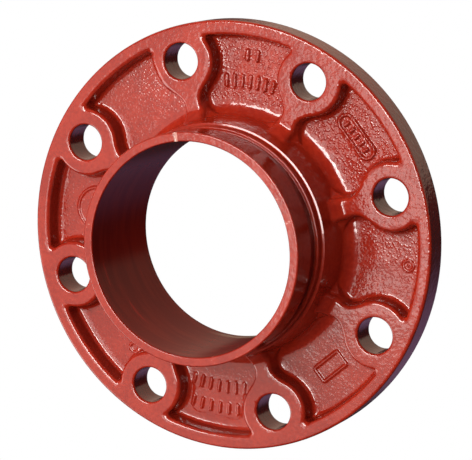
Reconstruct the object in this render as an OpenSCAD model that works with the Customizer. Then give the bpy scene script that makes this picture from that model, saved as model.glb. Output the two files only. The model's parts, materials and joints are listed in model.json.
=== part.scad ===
// Grooved flange adaptor: one iron casting with a bolted flange at the bottom and a
// grooved pipe end at the top. The nodes are the natural zones of that casting.
// The joint face lies at z = 0 and the pipe axis is +Z. Two bolt holes straddle +X.

/* [Flange] */
// Outside diameter of the flange
flange_d = 215; // [210:1:225]
// Height of the rim, bosses and ribs above the joint face
flange_t = 17; // [15:0.5:20]
// Width of the flat top of the rim
rim_w = 7; // [6:0.5:7]
// Height of the pocket floors above the joint face
floor_z = 7.4; // [6:0.2:9]
// Outside diameter of the machined joint face
land_d = 157; // [150:1:160]
// Thickness given to the joint face zone
land_t = 3; // [2:0.5:4]
// How far the machined joint face stands proud of the cast back
land_proud = 0.5; // [0.2:0.1:1]

/* [Bolting] */
// Diameter of the bolt circle
bolt_circle = 180; // [179:0.5:181]
// Diameter of each bolt hole
bolt_hole_d = 18; // [17.5:0.5:20]
// Diameter of the boss round each bolt hole
boss_d = 33.5; // [32:0.5:35]

/* [Ribs] */
// Width of each rib from the hub to its boss
rib_w = 10; // [8:0.5:12]
// Radius at which the sloping gusset leaves the top of the rib
gusset_r = 64.5; // [63:0.5:67]
// Height at which the gusset runs into the hub
gusset_z = 23; // [20:0.5:26]

/* [Pipe end] */
// Outside diameter of the pipe end
pipe_d = 114.3; // [114:0.1:115]
// Diameter of the bore
bore_d = 105; // [102:0.5:106]
// Overall height from the joint face to the end of the pipe
overall_h = 60.5; // [58:0.5:70]
// Width of the gasket seat between the pipe end and the groove
seat_w = 15.88; // [15:0.01:16.5]
// Width of the groove
groove_w = 8.74; // [8:0.01:9.5]
// Diameter at the bottom of the groove
groove_d = 110.08; // [109.5:0.01:111]
// Height at which the turned pipe end meets the cast hub
turned_z = 31; // [28:0.5:33]

/* [Hub] */
// Diameter of the hub where it meets the turned pipe end
hub_top_d = 117; // [116:0.5:118]
// Diameter of the hub just above its foot
hub_foot_d = 121; // [120:0.5:123]
// Radius of the fillet between the hub and the pocket floor
foot_fillet = 5; // [3:0.5:6]

/* [Cast details] */
// Height of the blank cast pads above the pocket floor
pad_h = 0.6; // [0.5:0.1:1.2]
// Length and width of the blank pad
pad_size = [28, 20]; // [10:1:28]
// Radius at which the blank pad is centred
pad_r = 84; // [82:0.5:86]
// Diameter of the blank medallion
medallion_d = 23; // [15:1:23]
// Radius at which the medallion is centred
medallion_r = 77.5; // [77.5:0.5:84]

/* [Hidden] */
BOLT_COUNT = 8;
PITCH = 360 / BOLT_COUNT;
$fn = 96;

flange_r = flange_d / 2;
rim_in_r = flange_r - rim_w;
land_r = land_d / 2;
pitch_r = bolt_circle / 2;
pipe_r = pipe_d / 2;
bore_r = bore_d / 2;
hub_top_r = hub_top_d / 2;
hub_foot_r = hub_foot_d / 2;
// The web is cut off where the hub's foot fillet runs out on the pocket floor.
hub_foot_z = floor_z + foot_fillet;
hub_out_r = hub_foot_r + foot_fillet;
groove_top_z = overall_h - seat_w;
groove_bottom_z = groove_top_z - groove_w;
// Bevel on the outer rim's back edge, on the pipe end and at the mouth of the bore
rim_bevel = 2;
end_bevel = 0.8;
mouth_bevel = 1.5;
step_h = 0.8;
FILLET_STEPS = 8;
CUT = 1; // how far a cutting shape runs past the face that it cuts

IRON = "firebrick";
FACE = "indianred";

// Points of the concave foot fillet, from the pocket floor up to the hub's side
function foot_arc() = [for (i = [0:FILLET_STEPS])
    let (a = 90 * i / FILLET_STEPS)
    [hub_out_r - foot_fillet * sin(a), hub_foot_z - foot_fillet * cos(a)]];

function boss_angle(i) = PITCH * (i - 0.5);

// Ring about the axis between two radii and two heights
module ring(r_in, r_out, z_low, z_high) {
    rotate_extrude()
        translate([r_in, z_low])
            square([r_out - r_in, z_high - z_low]);
}

module boss_outline(i) {
    rotate([0, 0, boss_angle(i)])
        translate([pitch_r, 0, 0])
            cylinder(d = boss_d, h = flange_t);
}

module all_bosses() {
    for (i = [1:BOLT_COUNT]) boss_outline(i);
}

// Volume taken by the joint face zone, which every neighbour gives way to
module joint_face_room() {
    ring(bore_r - CUT, land_r, -CUT, land_t);
}

module joint_face() {
    color(FACE)
        rotate_extrude()
            polygon([[bore_r + mouth_bevel, 0], [land_r, 0], [land_r, land_t],
                     [bore_r, land_t], [bore_r, mouth_bevel]]);
}

module hub() {
    color(IRON)
        rotate_extrude()
            polygon(concat(
                [[bore_r, land_t], [hub_out_r, land_t]],
                foot_arc(),
                [[hub_top_r, turned_z], [bore_r, turned_z]]));
}

module groove_neck() {
    color(IRON)
        rotate_extrude()
            polygon([[bore_r, turned_z], [hub_top_r, turned_z],
                     [pipe_r, turned_z + step_h], [pipe_r, groove_bottom_z],
                     [groove_d / 2, groove_bottom_z], [groove_d / 2, groove_top_z],
                     [bore_r, groove_top_z]]);
}

module gasket_seat() {
    color(IRON)
        rotate_extrude()
            polygon([[bore_r, groove_top_z], [pipe_r, groove_top_z],
                     [pipe_r, overall_h - end_bevel], [pipe_r - end_bevel, overall_h],
                     [bore_r, overall_h]]);
}

module flange_web() {
    color(IRON)
        difference() {
            ring(hub_out_r, rim_in_r, land_proud, floor_z);
            joint_face_room();
            all_bosses();
        }
}

module outer_rim() {
    color(IRON)
        rotate_extrude()
            polygon([[rim_in_r, land_proud], [flange_r - rim_bevel, land_proud],
                     [flange_r, land_proud + rim_bevel], [flange_r, flange_t],
                     [rim_in_r, flange_t]]);
}

module bolt_boss(i) {
    color(IRON)
        difference() {
            intersection() {
                boss_outline(i);
                ring(hub_out_r, rim_in_r, land_proud, flange_t);
            }
            joint_face_room();
            rotate([0, 0, boss_angle(i)])
                translate([pitch_r, 0, -CUT])
                    cylinder(d = bolt_hole_d, h = flange_t + 2 * CUT);
        }
}

// A straight rib with a sloping gusset that climbs the side of the hub
module rib(i) {
    color(IRON)
        difference() {
            rotate([0, 0, boss_angle(i)])
                translate([0, rib_w / 2, 0])
                    rotate([90, 0, 0])
                        linear_extrude(height = rib_w)
                            polygon([[hub_top_r, floor_z], [pitch_r, floor_z],
                                     [pitch_r, flange_t], [gusset_r, flange_t],
                                     [hub_top_r, gusset_z]]);
            boss_outline(i);
            rotate_extrude()
                polygon(concat([[0, 0], [hub_out_r, 0]], foot_arc(),
                               [[hub_top_r, turned_z], [0, turned_z]]));
        }
}

// Blank pad in the pocket that faces -Y
module cast_pad() {
    corner_r = pad_size[1] / 4;
    color(FACE)
        translate([0, -pad_r, floor_z])
            linear_extrude(height = pad_h)
                union() {
                    square([pad_size[0], pad_size[1] - 2 * corner_r], center = true);
                    square([pad_size[0] - 2 * corner_r, pad_size[1]], center = true);
                    for (x = [-1, 1], y = [-1, 1])
                        translate([x * (pad_size[0] / 2 - corner_r),
                                   y * (pad_size[1] / 2 - corner_r)])
                            circle(r = corner_r);
                }
}

// Blank round medallion in the pocket that faces -X
module cast_medallion() {
    color(FACE)
        translate([-medallion_r, 0, floor_z])
            cylinder(d = medallion_d, h = pad_h);
}

hub();
flange_web();
outer_rim();
joint_face();
groove_neck();
gasket_seat();
cast_pad();
cast_medallion();
for (i = [1:BOLT_COUNT])
    bolt_boss(i);
for (i = [1:BOLT_COUNT])
    rib(i);
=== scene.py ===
"""Looks of the grooved flange adaptor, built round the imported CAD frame.

The whole casting is worked out as one signed distance field, so that every fillet, draft and
rounded edge runs smoothly into the next. It is meshed once and then cut into one closed piece
for each CAD node. Lengths here are millimetres until a mesh is made in metres.
"""
import itertools
import json
import math

import bpy
import numpy as np
import openvdb
from mathutils import Matrix, Vector


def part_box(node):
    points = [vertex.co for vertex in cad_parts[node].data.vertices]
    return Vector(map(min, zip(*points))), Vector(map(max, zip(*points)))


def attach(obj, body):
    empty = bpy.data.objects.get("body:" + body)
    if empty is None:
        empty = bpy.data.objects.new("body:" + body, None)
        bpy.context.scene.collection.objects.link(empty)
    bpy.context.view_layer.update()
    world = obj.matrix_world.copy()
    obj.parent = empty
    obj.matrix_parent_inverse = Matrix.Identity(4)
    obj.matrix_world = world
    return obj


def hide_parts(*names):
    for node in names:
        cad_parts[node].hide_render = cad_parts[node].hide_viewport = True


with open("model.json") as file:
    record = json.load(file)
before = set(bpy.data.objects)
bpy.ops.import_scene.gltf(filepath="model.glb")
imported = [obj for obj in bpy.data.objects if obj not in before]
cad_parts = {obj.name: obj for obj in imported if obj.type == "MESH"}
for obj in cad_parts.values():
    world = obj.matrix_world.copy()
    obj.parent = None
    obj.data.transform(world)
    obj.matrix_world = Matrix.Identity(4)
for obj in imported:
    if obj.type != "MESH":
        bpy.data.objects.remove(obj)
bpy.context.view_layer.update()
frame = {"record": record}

MM = 0.001
VOXEL = 0.4

# ---------------------------------------------------------------- sizes from the frame
MOUNTS = {m["name"]: m for m in frame["record"]["mounts"]}


def size_mm(node, corner, axis):
    """One coordinate of a CAD node's box, in millimetres."""
    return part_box(node)[corner][axis] / MM


BOLTS = MOUNTS["flange_bolting"]["dims"]
HOLE_COUNT = int(BOLTS["count"])
PITCH_R = BOLTS["pcd_mm"] / 2
HOLE_R = BOLTS["hole_r_mm"]
BORE_R = MOUNTS["flow_bore"]["dims"]["r_mm"]
PIPE_R = MOUNTS["gasket_seat"]["dims"]["r_mm"]
GROOVE_R = MOUNTS["coupling_groove"]["dims"]["r_mm"]
FLANGE_R = size_mm("outer_rim", 1, 0)
FLANGE_Z = size_mm("outer_rim", 1, 2)
BACK_Z = size_mm("outer_rim", 0, 2)
LAND_R = size_mm("joint_face", 1, 0)
LAND_Z = size_mm("joint_face", 1, 2)
FLOOR_Z = size_mm("flange_web", 1, 2)
RIM_IN_R = size_mm("flange_web", 1, 0)
HUB_TOP_Z = size_mm("hub", 1, 2)
HUB_OUT_R = size_mm("hub", 1, 0)
HUB_TOP_R = size_mm("groove_neck", 1, 0)
SEAT_Z = size_mm("gasket_seat", 0, 2)
END_Z = size_mm("gasket_seat", 1, 2)
GROOVE_Z = SEAT_Z - MOUNTS["coupling_groove"]["dims"]["length_mm"]
PAD_R = -(size_mm("cast_pad", 0, 1) + size_mm("cast_pad", 1, 1)) / 2
PAD_HALF = [(size_mm("cast_pad", 1, a) - size_mm("cast_pad", 0, a)) / 2 for a in (0, 1)]
MEDAL_R = -(size_mm("cast_medallion", 0, 0) + size_mm("cast_medallion", 1, 0)) / 2
MEDAL_HALF = (size_mm("cast_medallion", 1, 0) - size_mm("cast_medallion", 0, 0)) / 2

# ---------------------------------------------------------------- sizes of the cast detail
# Plan and side walls of the pockets
BOSS_R = 16.9
BOSS_CUT_R = (size_mm("bolt_boss_2", 1, 1) - size_mm("bolt_boss_2", 0, 1)) / 2
RIB_CUT_HALF = 5.0
RIB_HALF = 4.2
RIB_FLARE = 2.0
RIB_FLARE_R = 72.0
DRAFT = 0.10
# Radii of the rounded edges and of the fillets
WALL_FOOT_R = 2.2
TOP_EDGE_R = 2.1
RIM_EDGE_R = 1.4
BACK_EDGE_R = 2.0
HOLE_EDGE_R = 1.3
HUB_FOOT_R = 6.5
RIB_FOOT_R = 1.2
GUSSET_FOOT_R = 0.8
BOSS_RIM_FILLET = 3.0
BOSS_RIB_FILLET = 6.0
# Hub, gussets, mouth of the bore and the step where the turned pipe end starts
HUB_LOW_R = 61.0
GUSSET_R = 64.5
GUSSET_Z = 23.0
MOUTH_BEVEL = 1.5
STEP_H = 0.8
SHOULDER_W = 0.95
SHOULDER_H = 0.333
# A nick across the end of the pipe, and a stretch of pocket edge that is rounder than the rest
NICK_ANGLE = 103.6
NICK_HALF = 1.2
NICK_DEPTH = 0.5
NICK_MID_R = BORE_R + 3
NICK_REACH = 4.0
SOFT_EDGE = (-48.4, 73.4)
SOFT_EDGE_REACH = 10.0
SOFT_EDGE_EXTRA = 3.4
# Blank raised marks. Angles are in degrees, and each height is above the pocket floor.
# Rows of bars: angle, radius, count, pitch, half width, half length, height
BAR_ROWS = [(90, 77.2, 7, 3.1, 0.95, 3.4, 1.15), (90, 90.3, 2, 3.4, 0.95, 3.0, 1.15),
            (45, 83.5, 5, 2.7, 0.85, 1.9, 1.15)]
# Frames: angle, radius, half width, half length, corner radius, height
FRAMES = [(45, 83.5, 13.0, 4.6, 4.4, 1.15), (-44, 81.5, 8.5, 4.8, 1.5, 0.8)]
FRAME_LINE_HALF = 0.7
# Rings and a dot: angle, radius, radius of the ring, half width of its line, height
RINGS = [(0.5, 93.0, 2.6, 0.55, 0.6), (0.5, 93.0, 0, 0.6, 0.6), (-126, 84, 2.4, 0.6, 0.6)]
# Rows of bars on the pad, and the row on the medallion
PAD_ROWS = [(-90, 78.3, 7, 3.4, 0.75, 3.2), (-90.5, 89.3, 6, 3.2, 0.75, 3.0)]
PAD_CORNER_R, PAD_SLOPE = 4.0, 0.8
PAD_RISE, PAD_ROW_RISE = 0.3, 0.75
MEDAL_ROW = (180, MEDAL_R, 3, 4.5, 0.8, 3.4)
MEDAL_RING_INSET, MEDAL_RING_HALF = 0.8, 0.6
MEDAL_RISE, MEDAL_RING_RISE, MEDAL_ROW_RISE = 0.25, 0.6, 0.55
# Cast skin of the pocket floors: how far it lies below the nominal floor, then the height,
# period and seed of its waves and of its lumps
SKIN_DROP = 0.15
WAVES = [(0.10, 9.0, 3)]
LUMPS = [(0.04, 2.6, 4), (0.06, 1.5, 5)]
# The skin grows rougher along this plan direction, between these two distances
ROUGH_WAY = (0.40, 0.90)
ROUGH_FROM, ROUGH_TO = 8, 72
# Depths below the flange top between which the hub's foot fillet gives way to the ribs' fillet
FOOT_CHANGE = (4.5, 0.5)
# Meshing, cutting and shading. The cutting solids run past the casting by CLEAR, and the
# pipe end's distance is looked up in a table with this step in radius.
ADAPTIVITY = 0.02
CLEAR = 5
TABLE_STEP = 0.25
SEAM_Z = HUB_TOP_Z - 1.5
PLATE_Z = FLOOR_Z - 0.5
PITCH = 2 * math.pi / HOLE_COUNT
LATHE_STEPS = 360
CAST_SHARP, TURNED_SHARP = math.radians(40), math.radians(32)
TURNED_PITCH = 1.1


# ---------------------------------------------------------------- distance field helpers
def round_max(a, b, radius):
    """Intersection of two fields, with the edge between them rounded."""
    u = np.maximum(radius + a, 0)
    v = np.maximum(radius + b, 0)
    return np.minimum(-radius, np.maximum(a, b)) + np.hypot(u, v)


def round_min(a, b, radius):
    """Union of two fields, with a fillet of this radius between them."""
    return -round_max(-a, -b, radius)


def rounded_outline(corners, steps=6):
    """Closed outline through (r, z, radius) corners, each turned on an arc of its radius."""
    outline = []
    count = len(corners)
    for i, (x, y, radius) in enumerate(corners):
        here = np.array([x, y], float)
        before = np.array(corners[i - 1][:2], float) - here
        after = np.array(corners[(i + 1) % count][:2], float) - here
        if radius <= 0:
            outline.append(here)
            continue
        before /= np.linalg.norm(before)
        after /= np.linalg.norm(after)
        half = math.acos(np.clip(before @ after, -1, 1)) / 2
        centre = here + (before + after) / np.linalg.norm(before + after) * radius / math.sin(half)
        start = here + before * radius / math.tan(half) - centre
        end = here + after * radius / math.tan(half) - centre
        for k in range(steps + 1):
            t = k / steps
            p = start * (1 - t) + end * t
            outline.append(centre + p / np.linalg.norm(p) * radius)
    return np.array(outline)


def outline_distance(outline, x, y):
    """Signed distance from points to a closed outline, negative inside."""
    best = np.full(x.shape, 1e9)
    inside = np.zeros(x.shape, bool)
    for (x0, y0), (x1, y1) in zip(outline, np.roll(outline, -1, axis=0)):
        dx, dy = x1 - x0, y1 - y0
        length2 = dx * dx + dy * dy
        if length2 < 1e-12:
            continue
        t = np.clip(((x - x0) * dx + (y - y0) * dy) / length2, 0, 1)
        best = np.minimum(best, np.hypot(x - x0 - t * dx, y - y0 - t * dy))
        if y0 != y1:
            crosses = ((y0 > y) != (y1 > y)) & (x < (y - y0) / dy * dx + x0)
            inside ^= crosses
    return np.where(inside, -best, best)


def lattice_noise(x, y, period, seed):
    """Smooth value noise between -1 and 1 whose bumps are about period apart."""
    table = np.random.default_rng(seed).uniform(-1, 1, (256, 256))
    u, v = x / period + 100, y / period + 100
    iu, iv = np.floor(u).astype(int), np.floor(v).astype(int)
    fu, fv = u - iu, v - iv
    fu, fv = fu * fu * (3 - 2 * fu), fv * fv * (3 - 2 * fv)
    iu, iv, ju, jv = iu & 255, iv & 255, (iu + 1) & 255, (iv + 1) & 255
    low = table[iu, iv] * (1 - fu) + table[ju, iv] * fu
    high = table[iu, jv] * (1 - fu) + table[ju, jv] * fu
    return low * (1 - fv) + high * fv


# ---------------------------------------------------------------- the casting
def hub_r(z):
    """Radius of the hub's sloping side at a height."""
    return HUB_TOP_R + (HUB_LOW_R - HUB_TOP_R) * (HUB_TOP_Z - z) / (HUB_TOP_Z - FLOOR_Z)


def pipe_corners():
    """Outside of the hub and pipe end, filled to the axis and running on above and below."""
    deep = -40
    return [(-5, deep, 0), (hub_r(deep), deep, 0), (HUB_TOP_R, HUB_TOP_Z, 0),
            (PIPE_R, HUB_TOP_Z + STEP_H, 0), (PIPE_R, END_Z, 0), (-5, END_Z, 0)]


def neck_corners():
    """Wall from the top of the hub to the floor of the groove."""
    return [(BORE_R, SEAM_Z, 0), (hub_r(SEAM_Z), SEAM_Z, 0), (HUB_TOP_R, HUB_TOP_Z, 0.2),
            (HUB_TOP_R - SHOULDER_W, HUB_TOP_Z + SHOULDER_H, 0.1),
            (PIPE_R, HUB_TOP_Z + STEP_H, 0.2),
            (PIPE_R, GROOVE_Z, 0.7), (GROOVE_R, GROOVE_Z, 0.4),
            (GROOVE_R, SEAT_Z, 0), (BORE_R, SEAT_Z, 0)]


def seat_corners():
    """Wall of the gasket seat, up to the end of the pipe."""
    return [(BORE_R, SEAT_Z, 0), (GROOVE_R, SEAT_Z, 0), (PIPE_R, SEAT_Z, 0.6),
            (PIPE_R, END_Z, 0.9), (BORE_R, END_Z, 0.8)]


def face_corners():
    """Machined joint face, with the bevelled mouth of the bore."""
    return [(BORE_R + MOUTH_BEVEL, 0, 0.3), (LAND_R, 0, 0.4), (LAND_R, LAND_Z, 0),
            (BORE_R, LAND_Z, 0), (BORE_R, MOUTH_BEVEL, 0.5)]


def rib_half(along):
    """Half width of a rib, which flares towards the hub."""
    t = np.clip((RIB_FLARE_R - along) / (RIB_FLARE_R - HUB_TOP_R), 0, 1)
    return RIB_HALF + RIB_FLARE * t * t


def plan_distance(x, y, r):
    """Plan distances to the tops of rim, bosses and ribs, to the hole axis and to the rib side."""
    turn = np.mod(np.arctan2(y, x), PITCH) - PITCH / 2
    along, across = r * np.cos(turn), r * np.sin(turn)
    hole = np.hypot(along - PITCH_R, across)
    boss = hole - BOSS_R
    beside_rib = np.abs(across) - rib_half(along)
    rib = np.maximum(beside_rib, along - PITCH_R)
    tops = round_min(boss, rib, BOSS_RIB_FILLET)
    tops = round_min(tops, RIM_IN_R - r, BOSS_RIM_FILLET)
    return tops, hole, along, beside_rib


def polar(x, y, angle_deg, radius):
    """Local coordinates about a point at this angle and radius: along its arc, and outwards."""
    angle = math.radians(angle_deg)
    out = x * math.cos(angle) + y * math.sin(angle) - radius
    side = y * math.cos(angle) - x * math.sin(angle)
    return side, out


def bar(side, out, half_side, half_out, radius):
    """Plan distance to a bar with round corners."""
    u = np.abs(side) - half_side + radius
    v = np.abs(out) - half_out + radius
    outside = np.hypot(np.maximum(u, 0), np.maximum(v, 0))
    return np.minimum(np.maximum(u, v), 0) + outside - radius


def raised(distance, height, slope=0.4):
    """Height of a raised shape whose sides ease down over about slope on each side."""
    t = np.clip(0.5 - distance / (2 * slope), 0, 1)
    return height * t * t * (3 - 2 * t)


def bar_row(x, y, angle_deg, radius, count, pitch_deg, half_side, half_out):
    """Plan distance to a row of blank bars on an arc about the axis."""
    best = np.full(x.shape, 1e3)
    for i in range(count):
        side, out = polar(x, y, angle_deg + (i - (count - 1) / 2) * pitch_deg, radius)
        best = np.minimum(best, bar(side, out, half_side, half_out, half_side))
    return best


def cast_marks(x, y):
    """Height of the blank raised marks that stand on the pocket floors."""
    marks = np.zeros(x.shape)
    for *row, height in BAR_ROWS:
        marks = np.maximum(marks, raised(bar_row(x, y, *row), height))
    for angle, radius, half_side, half_out, corner_r, height in FRAMES:
        edge = bar(*polar(x, y, angle, radius), half_side, half_out, corner_r)
        marks = np.maximum(marks, raised(np.abs(edge + FRAME_LINE_HALF) - FRAME_LINE_HALF, height))
    for angle, radius, ring_r, half, height in RINGS:
        centre = np.hypot(*polar(x, y, angle, radius))
        marks = np.maximum(marks, raised(np.abs(centre - ring_r) - half, height))
    pad = bar(*polar(x, y, -90, PAD_R), *PAD_HALF, PAD_CORNER_R)
    rows = np.minimum(*[bar_row(x, y, *row) for row in PAD_ROWS])
    marks = np.maximum(marks, raised(pad, PAD_RISE, PAD_SLOPE) + raised(rows, PAD_ROW_RISE))
    medal = np.hypot(*polar(x, y, 180, MEDAL_R)) - MEDAL_HALF
    medal_ring = np.abs(medal + MEDAL_RING_INSET) - MEDAL_RING_HALF
    medal_row = bar_row(x, y, *MEDAL_ROW)
    return np.maximum(marks, raised(medal, MEDAL_RISE) + raised(medal_ring, MEDAL_RING_RISE)
                      + raised(medal_row, MEDAL_ROW_RISE))


def rougher_side(x, y):
    """Share of the full cast roughness, which grows from the -Y side to the +Y side."""
    along = ROUGH_WAY[0] * x + ROUGH_WAY[1] * y
    return 0.2 + 0.8 * np.clip((along - ROUGH_FROM) / (ROUGH_TO - ROUGH_FROM), 0, 1)


def noise_sum(x, y, layers):
    """Height of several layers of noise together."""
    return sum(height * lattice_noise(x, y, period, seed) for height, period, seed in layers)


def floor_height(x, y):
    """Height of the pocket floors, with their cast skin."""
    level = FLOOR_Z - SKIN_DROP + noise_sum(x, y, WAVES)
    return level + rougher_side(x, y) * noise_sum(x, y, LUMPS) + cast_marks(x, y)


def casting_field():
    """Signed distance of the casting on a regular grid, with the grid's first corner."""
    margin = 2.0
    xs = np.arange(-FLANGE_R - margin, FLANGE_R + margin + VOXEL, VOXEL)
    zs = np.arange(-margin, HUB_TOP_Z + margin + VOXEL, VOXEL)
    x, y = np.meshgrid(xs, xs, indexing="ij")
    r = np.hypot(x, y)
    tops, hole, along, beside_rib = plan_distance(x, y, r)
    floor = floor_height(x, y)
    outline = rounded_outline(pipe_corners())
    table_r = np.arange(0, r.max() + 1, TABLE_STEP)
    gusset_run, gusset_rise = GUSSET_R - HUB_TOP_R, GUSSET_Z - FLANGE_Z
    gusset_len = math.hypot(gusset_run, gusset_rise)
    back = np.where(r < LAND_R, 0.0, BACK_Z)
    apart_soft = np.hypot(x - SOFT_EDGE[0], y - SOFT_EDGE[1]) / SOFT_EDGE_REACH
    edge_r = TOP_EDGE_R + SOFT_EDGE_EXTRA * np.exp(-apart_soft ** 2)
    field = np.empty((len(xs), len(xs), len(zs)), np.float32)
    for k, z in enumerate(zs):
        pipe = outline_distance(outline, table_r, np.full(table_r.shape, z))
        pipe = np.interp(r, table_r, pipe)
        pocket = round_max(DRAFT * (FLANGE_Z - z) - tops, floor - z, WALL_FOOT_R)
        flange = round_max(np.full(r.shape, z - FLANGE_Z), r - FLANGE_R, RIM_EDGE_R)
        flange = round_max(flange, -pocket, edge_r)
        foot = np.interp(z, [FLANGE_Z - d for d in FOOT_CHANGE], [HUB_FOOT_R, RIB_FOOT_R])
        body = round_min(flange, pipe, foot)
        ramp = ((along - GUSSET_R) * gusset_rise + (z - FLANGE_Z) * gusset_run) / gusset_len
        gusset = round_max(ramp, beside_rib - DRAFT * (FLANGE_Z - z), TOP_EDGE_R)
        gusset = np.maximum(gusset, FLOOR_Z - z)
        body = round_min(body, gusset, GUSSET_FOOT_R)
        body = round_max(body, back - z, BACK_EDGE_R)
        body = np.maximum(np.maximum(body, BORE_R - r), z - HUB_TOP_Z)
        field[:, :, k] = round_max(body, HOLE_R - hole, HOLE_EDGE_R)
    return field, (xs[0], xs[0], zs[0])


def mesh_from_arrays(name, points_mm, triangles):
    """Blender mesh in metres from points in millimetres and triangles."""
    mesh = bpy.data.meshes.new(name)
    mesh.vertices.add(len(points_mm))
    mesh.vertices.foreach_set("co", (points_mm * MM).astype(np.float32).ravel())
    mesh.loops.add(3 * len(triangles))
    mesh.loops.foreach_set("vertex_index", triangles.astype(np.int32).ravel())
    mesh.polygons.add(len(triangles))
    mesh.polygons.foreach_set("loop_start", np.arange(0, 3 * len(triangles), 3, dtype=np.int32))
    mesh.update(calc_edges=True)
    return mesh


def arrays_from_mesh(mesh):
    """Points in millimetres and triangles of a mesh."""
    points = np.empty(3 * len(mesh.vertices), np.float32)
    mesh.vertices.foreach_get("co", points)
    mesh.calc_loop_triangles()
    triangles = np.empty(3 * len(mesh.loop_triangles), np.int32)
    mesh.loop_triangles.foreach_get("vertices", triangles)
    return points.reshape(-1, 3).astype(float) / MM, triangles.reshape(-1, 3)


def mesh_from_field(field, corner):
    """Closed mesh of the field's surface."""
    grid = openvdb.FloatGrid(3 * VOXEL)
    grid.copyFromArray(np.ascontiguousarray(np.clip(field, -3 * VOXEL, 3 * VOXEL)))
    points, triangles, quads = grid.convertToPolygons(adaptivity=ADAPTIVITY)
    halves = np.concatenate([quads[:, [0, 1, 2]], quads[:, [0, 2, 3]], triangles])
    return mesh_from_arrays("casting", points * VOXEL + np.array(corner), halves)


def prism(outline, half, turn=0.0):
    """Closed solid: an outline in (x, z) pushed half each way along y, then turned about Z."""
    count = len(outline)
    points = np.array([(u, v, w) for v in (-half, half) for u, w in outline], float)
    cos, sin = math.cos(turn), math.sin(turn)
    points[:, :2] = points[:, :2] @ np.array([(cos, sin), (-sin, cos)])
    faces = [tuple(range(count)), tuple(range(2 * count - 1, count - 1, -1))]
    faces += [(i, i + count, (i + 1) % count + count, (i + 1) % count) for i in range(count)]
    return points, faces


def upright(outline, low, high):
    """Closed solid: a plan outline carried from one height to another."""
    count = len(outline)
    points = [(x, y, z) for z in (low, high) for x, y in outline]
    faces = [tuple(range(count - 1, -1, -1)), tuple(range(count, 2 * count))]
    faces += [(i, (i + 1) % count, (i + 1) % count + count, i + count) for i in range(count)]
    return points, faces


def column(x, y, radius, low, high, sides=256):
    """Closed upright cylinder."""
    angle = np.arange(sides) * 2 * math.pi / sides
    outline = np.stack([x + radius * np.cos(angle), y + radius * np.sin(angle)], 1)
    return upright(outline, low, high)


def solid(*parts):
    """One mesh in metres from closed (points in millimetres, faces) parts that don't touch."""
    points, faces, start = [], [], 0
    for part_points, part_faces in parts:
        points += (np.array(part_points) * MM).tolist()
        faces += [tuple(i + start for i in face) for face in part_faces]
        start += len(part_points)
    mesh = bpy.data.meshes.new("tool")
    mesh.from_pydata(points, [], faces)
    mesh.update()
    return mesh


def cut(mesh, tool, operation):
    """Closed mesh from cutting one solid with another."""
    pair = [bpy.data.objects.new("cut", m) for m in (mesh, tool)]
    for obj in pair:
        bpy.context.scene.collection.objects.link(obj)
    step = pair[0].modifiers.new("cut", "BOOLEAN")
    step.solver, step.operation, step.object = "MANIFOLD", operation, pair[1]
    bpy.context.view_layer.update()
    graph = bpy.context.evaluated_depsgraph_get()
    result = bpy.data.meshes.new_from_object(pair[0].evaluated_get(graph))
    for obj in pair:
        bpy.data.objects.remove(obj)
    return result


def apart(mesh, tool):
    """The part of a mesh inside a tool, and the part outside it."""
    return cut(mesh, tool, "INTERSECT"), cut(mesh, tool, "DIFFERENCE")


def sectors(mesh):
    """The pieces of a mesh in each eighth of the flange, in the order of the bosses."""
    points, triangles = arrays_from_mesh(mesh)
    centre = points[triangles].mean(axis=1)
    which = np.mod(np.arctan2(centre[:, 1], centre[:, 0]), 2 * math.pi) // PITCH
    for i in range(HOLE_COUNT):
        kept = triangles[which == i]
        used, renumbered = np.unique(kept, return_inverse=True)
        yield mesh_from_arrays("sector", points[used], renumbered.reshape(-1, 3))


def sample(field, corner, points):
    """Field at points, interpolated between grid values."""
    place = np.clip((points - np.array(corner)) / VOXEL, 0, np.array(field.shape) - 1.001)
    low = place.astype(int)
    t = place - low
    total = 0
    for step in itertools.product((0, 1), repeat=3):
        weight = np.where(step, t, 1 - t).prod(axis=1)
        total = total + weight * field[tuple((low + step).T)]
    return total


def field_normals(field, corner, points):
    """Unit direction in which the field rises at each point, from steps of 0.7 voxel."""
    steps = []
    for axis in np.eye(3) * 0.7 * VOXEL:
        steps.append(sample(field, corner, points + axis) - sample(field, corner, points - axis))
    slope = np.stack(steps, 1)
    return slope / np.maximum(np.linalg.norm(slope, axis=1, keepdims=True), 1e-9)


def shade_from_field(mesh, field, corner):
    """Copy of a cut mesh, shaded by the field's slope; the cut faces themselves stay flat."""
    near_skin, same_way, thin = 0.3 * VOXEL, 0.3, 0.05 * VOXEL ** 2
    points, triangles = arrays_from_mesh(mesh)
    shaded = mesh_from_arrays("piece", points, triangles)
    a, b, c = (points[triangles[:, i]] for i in range(3))
    flat = np.cross(b - a, c - a)
    sliver = np.linalg.norm(flat, axis=1) < thin
    flat /= np.maximum(np.linalg.norm(flat, axis=1, keepdims=True), 1e-12)
    centre = (a + b + c) / 3
    skin = np.abs(sample(field, corner, centre)) < near_skin
    skin &= sliver | ((field_normals(field, corner, centre) * flat).sum(axis=1) > same_way)
    smooth = field_normals(field, corner, points)
    normals = np.where(skin[:, None, None], smooth[triangles], flat[:, None, :])
    own = shaded.attributes.new("custom_normal", "FLOAT_VECTOR", "CORNER")
    own.data.foreach_set("vector", normals.astype(np.float32).ravel())
    shaded.set_sharp_from_angle(angle=CAST_SHARP)
    return shaded


def flat_sided(outline, near=0.03):
    """The outline with a point close to each end of its long sides, so that they shade flat."""
    points = []
    for start, end in zip(outline, np.roll(outline, -1, axis=0)):
        points.append(start)
        length = np.linalg.norm(end - start)
        if length > 8 * near:
            inset = (end - start) * near / length
            points += [start + inset, end - inset]
    return np.array(points)


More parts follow.
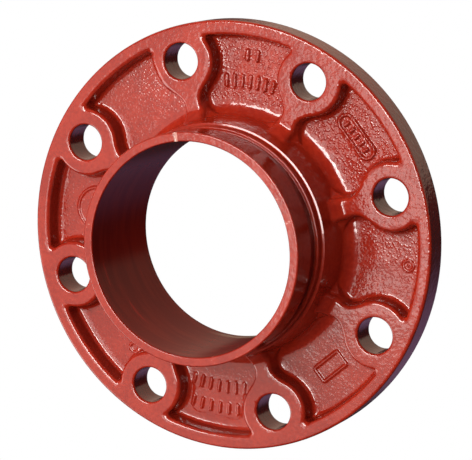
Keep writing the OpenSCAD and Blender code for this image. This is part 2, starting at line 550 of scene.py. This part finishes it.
def lathe(name, corners):
    """Closed turned solid from (r, z, radius) corners given anticlockwise."""
    outline = flat_sided(rounded_outline(corners))
    count = len(outline)
    angle = np.arange(LATHE_STEPS) * 2 * math.pi / LATHE_STEPS
    around = [np.outer(way(angle), outline[:, 0]) for way in (np.cos, np.sin)]
    points = np.stack([*around, np.tile(outline[:, 1], (LATHE_STEPS, 1))], 2).reshape(-1, 3)
    i, k = np.meshgrid(np.arange(LATHE_STEPS), np.arange(count), indexing="ij")
    j, up = (i + 1) % LATHE_STEPS * count, (k + 1) % count
    i = i * count
    triangles = np.concatenate([np.stack([i + k, j + k, j + up], 2).reshape(-1, 3),
                                np.stack([i + k, j + up, i + up], 2).reshape(-1, 3)])
    return mesh_from_arrays(name, points, triangles)


def nicked_seat():
    """Turned pipe end with a shallow nick across its end face."""
    margin = 1
    half, top = NICK_HALF + margin, END_Z + margin * NICK_DEPTH / NICK_HALF
    angle = math.radians(NICK_ANGLE)
    outline = [(0, END_Z - NICK_DEPTH), (half, top), (-half, top)]
    points, faces = prism(outline, NICK_REACH, math.radians(NICK_ANGLE - 90))
    points[:, 0] += NICK_MID_R * math.cos(angle)
    points[:, 1] += NICK_MID_R * math.sin(angle)
    return cut(lathe("seat", seat_corners()), solid((points, faces)), "DIFFERENCE")


def rib_tool(i):
    """Profile solid that takes a rib and its gusset off the hub and the pocket floor."""
    off_hub = 0.12
    foot_z, top_z = FLOOR_Z + HUB_FOOT_R, GUSSET_Z + 3
    outline = [(hub_r(foot_z) + off_hub, foot_z), (HUB_OUT_R, FLOOR_Z), (PITCH_R, FLOOR_Z),
               (PITCH_R, FLANGE_Z + CLEAR), (hub_r(top_z) + off_hub, top_z)]
    return prism(outline, RIB_CUT_HALF, (i + 0.5) * PITCH)


def boss_tool(i):
    """Upright cylinder that takes a boss off the web."""
    angle = (i + 0.5) * PITCH
    x, y = PITCH_R * math.cos(angle), PITCH_R * math.sin(angle)
    return column(x, y, BOSS_CUT_R, -CLEAR, FLANGE_Z + 20)


def pad_tool():
    """Upright plate with round corners that takes the pad off the web."""
    corners = [(u * PAD_HALF[0], v * PAD_HALF[1], PAD_CORNER_R)
               for u, v in ((-1, -1), (1, -1), (1, 1), (-1, 1))]
    return upright([(x, y - PAD_R) for x, y in rounded_outline(corners)], PLATE_Z, FLANGE_Z)


def cut_up(field, corner):
    """The cast pieces of the flange, by the name of the node that each stands for."""
    whole = mesh_from_field(field, corner)
    whole = cut(whole, solid(column(0, 0, LAND_R, -CLEAR, LAND_Z)), "DIFFERENCE")
    inner, rim = apart(whole, solid(column(0, 0, RIM_IN_R, -CLEAR, END_Z)))
    bosses, inner = apart(inner, solid(*[boss_tool(i) for i in range(HOLE_COUNT)]))
    ribs, inner = apart(inner, solid(*[rib_tool(i) for i in range(HOLE_COUNT)]))
    hub, web = apart(inner, solid(column(0, 0, HUB_OUT_R, -CLEAR, END_Z)))
    hub = cut(hub, solid(column(0, 0, FLANGE_R, -CLEAR, SEAM_Z)), "INTERSECT")
    pad, web = apart(web, solid(pad_tool()))
    medal, web = apart(web, solid(column(-MEDAL_R, 0, MEDAL_HALF, PLATE_Z, FLANGE_Z)))
    pieces = {"hub": hub, "outer_rim": rim, "flange_web": web,
              "cast_pad": pad, "cast_medallion": medal}
    for name, row in (("bolt_boss_%d", bosses), ("rib_%d", ribs)):
        for i, piece in enumerate(sectors(row)):
            pieces[name % (i + 1)] = piece
    return {node: shade_from_field(piece, field, corner) for node, piece in pieces.items()}


# ---------------------------------------------------------------- materials
# Linear colours
RED_DARK, RED_LIGHT = (0.208, 0.0095, 0.0037, 1), (0.272, 0.016, 0.006, 1)
# Painted shade: deep red that darkens the pocket walls where shade falls on them
PAINTED_SHADE_RED = (0.03, 0.001, 0.001, 1)
RUN_DARK, RUN_LIGHT = (0.165, 0.007, 0.003, 1), (0.20, 0.010, 0.004, 1)
RUN_EDGE = (0.30, 0.012, 0.005, 1)
BARE_METAL = (0.34, 0.27, 0.19, 1)
# Pale paint for the worn specks on the pipe end, their painted sheen on the +X +Y side, and the
# painted highlight in the nick
WORN_PAINT_AND_HIGHLIGHT = (0.74, 0.50, 0.42, 1)
WHITE = (1, 1, 1, 1)
DIM, DIM_CEILING = (0.03, 0.022, 0.025, 1), (0.035, 0.032, 0.032, 1)
WARM_GREY, COOL_PURPLE = (0.48, 0.36, 0.28, 1), (0.21, 0.115, 0.20, 1)
# Heights of the bumps in metres
PEBBLE_H, RIPPLE_H, PEEL_H, FINE_PEEL_H, TURNED_H = 0.00027, 0.00010, 0.00014, 0.00007, 0.000003


class Nodes:
    """Short hand for building one node tree."""

    def __init__(self, tree):
        self.tree = tree

    def add(self, kind, links=(), **values):
        """New node with its named inputs set or linked."""
        node = self.tree.nodes.new("ShaderNode" + kind)
        for name, value in values.items():
            setattr(node, name, value)
        for name, source in dict(links).items():
            if hasattr(source, "links"):
                self.tree.links.new(source, node.inputs[name])
            else:
                node.inputs[name].default_value = source
        return node

    def feed(self, node_name, **links):
        """Link values to inputs of a node that is there already; _ stands for a space."""
        for name, source in links.items():
            self.tree.links.new(source, self.tree.nodes[node_name].inputs[name.replace("_", " ")])

    def maths(self, operation, a, b=0.0, clamp=False):
        """Result of one operation on one or two values."""
        node = self.add("Math", {0: a, 1: b}, operation=operation, use_clamp=clamp)
        return node.outputs[0]

    def times(self, first, *others):
        """Product of values."""
        for other in others:
            first = self.maths("MULTIPLY", first, other)
        return first

    def plus(self, first, *others):
        """Sum of values."""
        for other in others:
            first = self.maths("ADD", first, other)
        return first

    def minus(self, a, b):
        """Difference of two values."""
        return self.maths("SUBTRACT", a, b)

    def weighed(self, a, a_share, b, b_share):
        """Sum of two values, each times its share."""
        return self.plus(self.times(a, a_share), self.times(b, b_share))

    def blend(self, factor, a, b):
        """Colour between a and b."""
        node = self.add("Mix", {"Factor": factor, "A": a, "B": b}, data_type="RGBA")
        return node.outputs["Result"]

    def ramp(self, value, low, high):
        """Smooth step of a value from 0 at low to 1 at high."""
        node = self.add("MapRange", {"Value": value, "From Min": low, "From Max": high},
                        interpolation_type="SMOOTHSTEP")
        return node.outputs["Result"]

    def ramp_mm(self, value, low, high):
        """Smooth step of a length in metres, between two lengths in millimetres."""
        return self.ramp(value, low * MM, high * MM)

    def noise(self, vector, scale, detail, roughness=0.5):
        """Noise with this many features a metre."""
        node = self.add("TexNoise", {"Vector": vector, "Scale": scale, "Detail": detail,
                                     "Roughness": roughness})
        return node.outputs["Fac"]

    def split(self, vector):
        """The three parts of a vector."""
        node = self.add("SeparateXYZ", {"Vector": vector})
        return [node.outputs[axis] for axis in "XYZ"]


class Paint(Nodes):
    """Gloss enamel over iron. Where the metal is as cast or turned is told from its place."""

    def __init__(self, name):
        self.material = bpy.data.materials.new(name)
        self.material.use_nodes = True
        super().__init__(self.material.node_tree)
        self.place = self.add("TexCoord").outputs["Object"]
        self.x, self.y, self.z = self.split(self.place)
        self.r = self.maths("SQRT", self.weighed(self.x, self.x, self.y, self.y))
        self.facing = self.split(self.add("NewGeometry").outputs["Normal"])[2]
        self.level = self.maths("ABSOLUTE", self.facing)
        self.bore = self.ramp_mm(self.r, BORE_R + 0.6, BORE_R + 0.2)
        self.broad = self.noise(self.place, 60, 2)
        self.fine = self.noise(self.place, 520, 3)
        bump = self.add("Bump", {"Height": self.relief(), "Strength": 1.0, "Distance": 1.0})
        self.feed("Principled BSDF", Base_Color=self.colour(), Normal=bump.outputs["Normal"],
                  Coat_Normal=bump.outputs["Normal"])
        self.gloss()

    def colour(self):
        """Red with painted shade on the pocket walls, then the runs in the bore, the worn places,
        the painted sheen on the pipe end and the painted highlight in the nick.
        """
        tone = self.weighed(self.broad, 0.5, self.fine, 0.5)
        colour = self.blend(self.ramp(tone, 0.35, 0.65), RED_DARK, RED_LIGHT)
        # Painted shade: the near-upright pocket walls are darkened towards deep red for the shade
        # that falls on them
        painted_wall_shade = self.times(self.ramp(self.level, 0.75, 0.20), self.ramp_mm(self.r, 66.5, 70.0),
                          self.ramp_mm(self.r, 103, 101))
        colour = self.blend(self.times(painted_wall_shade, 0.45), colour, PAINTED_SHADE_RED)

        stretched = self.add("Mapping", {"Vector": self.place, "Scale": (0.14, 0.14, 1)})
        streaks = self.noise(stretched.outputs["Vector"], 230, 3)
        runs = self.blend(self.ramp(streaks, 0.40, 0.62), RUN_DARK, RUN_LIGHT)
        runs = self.blend(self.ramp(streaks, 0.70, 0.73), runs, RUN_EDGE)
        colour = self.blend(self.bore, colour, runs)
        mouth = self.times(self.ramp_mm(self.z, 12, 3),
                           self.ramp_mm(self.minus(self.x, self.y), 40, 60))
        bare = self.times(self.ramp(streaks, 0.50, 0.58), mouth, self.bore)
        colour = self.blend(bare, colour, BARE_METAL)
        # Pale paint on the pipe end: worn specks with a painted sheen on the +X +Y side, and a
        # painted highlight in the nick
        return self.blend(self.maths("MAXIMUM", self.scuffs_and_sheen(), self.nick()), colour, WORN_PAINT_AND_HIGHLIGHT)

    def scuffs_and_sheen(self):
        """Worn specks on the end of the pipe, with more of them on the +X +Y side as a painted
        sheen where the light falls on the lip.
        """
        lip = self.ramp_mm(self.z, END_Z - 0.5, END_Z - 0.2)
        # Painted sheen: the specks grow thicker on the +X +Y side, where the lights catch the lip
        side = self.ramp_mm(self.weighed(self.x, 0.75, self.y, 0.66), 44, 56)
        specks = self.plus(self.noise(self.place, 260, 4, 0.7), self.times(side, 0.09))
        return self.times(self.ramp(specks, 0.67, 0.76), lip, 0.45)

    def nick(self):
        """Pale paint in the nick across the end of the pipe: worn paint, and a painted highlight
        that whitens the nick.
        """
        angle = math.radians(NICK_ANGLE)
        across = self.weighed(self.y, math.cos(angle), self.x, -math.sin(angle))
        inside = self.ramp_mm(self.maths("ABSOLUTE", across), NICK_HALF, 0.6 * NICK_HALF)
        lip = self.ramp_mm(self.z, END_Z - 0.8, END_Z - 0.5)
        return self.times(inside, lip, self.maths("GREATER_THAN", self.y, 0.0), 0.35)

    def gloss(self):
        """Gloss that drops in the bore and on the walls of the neck."""
        rough = self.plus(self.times(self.fine, 0.16), 0.13)
        neck = self.times(self.ramp(self.level, 0.5, 0.2),
                          self.ramp_mm(self.z, HUB_TOP_Z + 0.6, HUB_TOP_Z + 1.2))
        dull = self.maths("MAXIMUM", self.bore, self.times(neck, 0.75))
        self.feed("Principled BSDF", Roughness=rough,
                  Specular_IOR_Level=self.minus(0.3, self.times(dull, 0.19)),
                  Coat_Weight=self.minus(0.7, self.times(dull, 0.7)))
        self.tree.nodes["Principled BSDF"].inputs["Coat Roughness"].default_value = 0.05

    def relief(self):
        """Height of the pebbled cast skin, the paint's peel and the turned lines."""
        pocket = self.times(self.ramp_mm(self.z, 15, 10), self.ramp_mm(self.r, 66, 70),
                            self.ramp(self.facing, 0.35, 0.75))
        ripples = self.noise(self.place, 760, 1, 0.4)
        cells = self.add("TexVoronoi", {"Vector": self.place, "Scale": 620}).outputs["Distance"]
        domes = self.maths("SUBTRACT", 1.0, self.times(cells, cells, 4.5), clamp=True)
        domes = self.times(domes, self.ramp(self.broad, 0.20, 0.50))
        side = self.weighed(self.x, ROUGH_WAY[0], self.y, ROUGH_WAY[1])
        rougher = self.plus(self.times(self.ramp_mm(side, ROUGH_FROM, ROUGH_TO), 0.85), 0.15)
        skin = self.times(self.weighed(ripples, RIPPLE_H, domes, PEBBLE_H), pocket, rougher)

        waves = self.noise(self.place, 340, 1)
        hub = self.times(self.ramp_mm(self.r, 66.5, 63.5),
                         self.ramp_mm(self.z, END_Z - 0.4, END_Z - 0.8))
        peel = self.times(self.weighed(waves, PEEL_H, ripples, FINE_PEEL_H),
                          self.minus(1.0, self.times(hub, 0.8)),
                          self.plus(self.times(rougher, 1.1), 0.4))

        lines = self.times(self.plus(self.r, self.z), 2 * math.pi / (TURNED_PITCH * MM))
        machined = self.maths("MAXIMUM", self.ramp_mm(self.z, HUB_TOP_Z + 0.2, HUB_TOP_Z + 0.6),
                              self.ramp_mm(self.z, 0.4, 0.2))
        turned = self.times(self.maths("SINE", lines), machined, TURNED_H)
        return self.plus(skin, peel, turned)


def floor_material():
    """White to the camera; the floor is hidden from reflections and bounced light."""
    mat = bpy.data.materials.new("pale_floor")
    mat.use_nodes = True
    nodes = Nodes(mat.node_tree)
    glow = nodes.add("Emission", {"Color": WHITE, "Strength": 1.0})
    nodes.feed("Material Output", Surface=glow.outputs["Emission"])
    return mat


def studio_world():
    """Dim room whose lower half is warm grey on the +Y side, with a cool patch on the -Y side."""
    world = bpy.data.worlds.new("studio")
    world.use_nodes = True
    nodes = Nodes(world.node_tree)
    x, y, z = nodes.split(nodes.add("TexCoord").outputs["Generated"])
    aside, ahead = nodes.minus(x, 0.12), nodes.plus(y, 0.43)
    from_patch = nodes.maths("SQRT", nodes.plus(nodes.maths("POWER", aside, 2.0),
                                                nodes.maths("POWER", ahead, 2.0)))
    colour = nodes.blend(nodes.ramp(y, 0.07, 0.17), DIM, WARM_GREY)
    colour = nodes.blend(nodes.ramp(from_patch, 0.38, 0.14), colour, COOL_PURPLE)
    colour = nodes.blend(nodes.ramp(z, -0.15, 0.05), colour, DIM_CEILING)
    colour = nodes.blend(nodes.add("LightPath").outputs["Is Camera Ray"], colour, WHITE)
    nodes.feed("Background", Color=colour)
    bpy.context.scene.world = world


# ---------------------------------------------------------------- camera, light and floor
def placed(data, axes, place):
    """Camera or light in the scene, at a place and with its X, Y and Z along three axes."""
    obj = bpy.data.objects.new(data.name, data)
    obj.matrix_world = Matrix.Translation(place) @ Matrix(axes).transposed().to_4x4()
    bpy.context.scene.collection.objects.link(obj)
    return obj


def add_camera():
    """The camera, fitted to the flange's outlines, its holes and both ends of the pipe."""
    azimuth, elevation, roll = math.radians(27.107), math.radians(63.912), math.radians(-108.898)
    distance, lens = 1.26917, 192.95
    aim = Vector((-0.00244, 0.00084, 0.00088))
    back = Vector((math.cos(elevation) * math.cos(azimuth),
                   math.cos(elevation) * math.sin(azimuth), math.sin(elevation)))
    level = (-back).cross(Vector((0, 0, 1))).normalized()
    lift = level.cross(-back)
    right = level * math.cos(roll) + lift * math.sin(roll)
    up = lift * math.cos(roll) - level * math.sin(roll)
    data = bpy.data.cameras.new("camera")
    data.lens = lens
    bpy.context.scene.camera = placed(data, (right, up, back), aim + back * distance)


def add_softbox(name, direction, distance, size, power, colour=(1, 1, 1), along=(1, 0, 0)):
    """Area light in a direction from the object, facing it, with its length along a vector."""
    data = bpy.data.lights.new(name, "AREA")
    data.shape = "RECTANGLE"
    data.size, data.size_y = size
    data.energy = power
    data.color = colour
    way = Vector(direction).normalized()
    length = Vector(along)
    length = (length - way * length.dot(way)).normalized()
    return placed(data, (length, way.cross(length), way), way * distance)


add_camera()
# Name, direction, distance in metres, size in metres, power in watts, colour, and the vector
# that the length of a strip follows
add_softbox("main_softbox", (-0.60, -0.25, 0.75), 1.8, (2.2, 2.2), 18.5, (1, 0.93, 0.84))
add_softbox("upper_strip", (-0.26, 0.60, 1.57), 1.7, (1.0, 0.42), 25, (1, 0.97, 0.93),
            (0.957, -0.29, 0))
add_softbox("side_strip", (0.31, 0.20, 1.65), 1.7, (0.65, 0.42), 15, (1, 0.97, 0.93),
            (0.52, -0.85, 0))
add_softbox("fleck_softbox", (-0.14, -0.05, 0.98), 1.7, (0.62, 0.70), 3.0, (1, 0.95, 0.90))
add_softbox("sheen_softbox", (-0.52, -0.25, 1.55), 1.65, (0.34, 0.18), 0.4, (1, 0.96, 0.92),
            (0.52, -0.85, 0))
add_softbox("edge_softbox", (-0.75, -0.50, 0.42), 1.8, (0.9, 0.9), 8, (1, 0.92, 0.88))
fill = add_softbox("upper_fill", (-0.60, 0.70, 0.45), 1.8, (1.7, 1.7), 22, (1, 0.94, 0.86))
fill.visible_glossy = False
studio_world()
bpy.context.scene.view_settings.view_transform = "Standard"

field, corner = casting_field()
meshes = cut_up(field, corner)
meshes["groove_neck"] = lathe("neck", neck_corners())
meshes["gasket_seat"] = nicked_seat()
meshes["joint_face"] = lathe("face", face_corners())
for node in ("groove_neck", "gasket_seat", "joint_face"):
    meshes[node].set_sharp_from_angle(angle=TURNED_SHARP)

ENAMEL = {"paint_gloss": Paint("red_enamel").material,
          "paint_cast": Paint("red_enamel_on_cast_skin").material,
          "joint_face": Paint("primed_joint_face").material}
SLOT = {part["node"]: part["material_slot"] for part in frame["record"]["subparts"]}
for node, mesh in meshes.items():
    mesh.polygons.foreach_set("use_smooth", np.ones(len(mesh.polygons), bool))
    mesh.materials.clear()
    slot = SLOT[node]
    mesh.materials.append(ENAMEL[slot])
    piece = bpy.data.objects.new(node + "_cast", mesh)
    mesh.name = piece.name
    bpy.context.scene.collection.objects.link(piece)
    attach(piece, "root")
    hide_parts(node)

far = 3
floor_mesh = bpy.data.meshes.new("floor")
floor_mesh.from_pydata([(-far, -far, 0), (far, -far, 0), (far, far, 0), (-far, far, 0)], [],
                       [(0, 1, 2, 3)])
floor_mesh.materials.append(floor_material())
floor = bpy.data.objects.new("floor", floor_mesh)
bpy.context.scene.collection.objects.link(floor)
floor.visible_glossy = False
floor.visible_diffuse = False
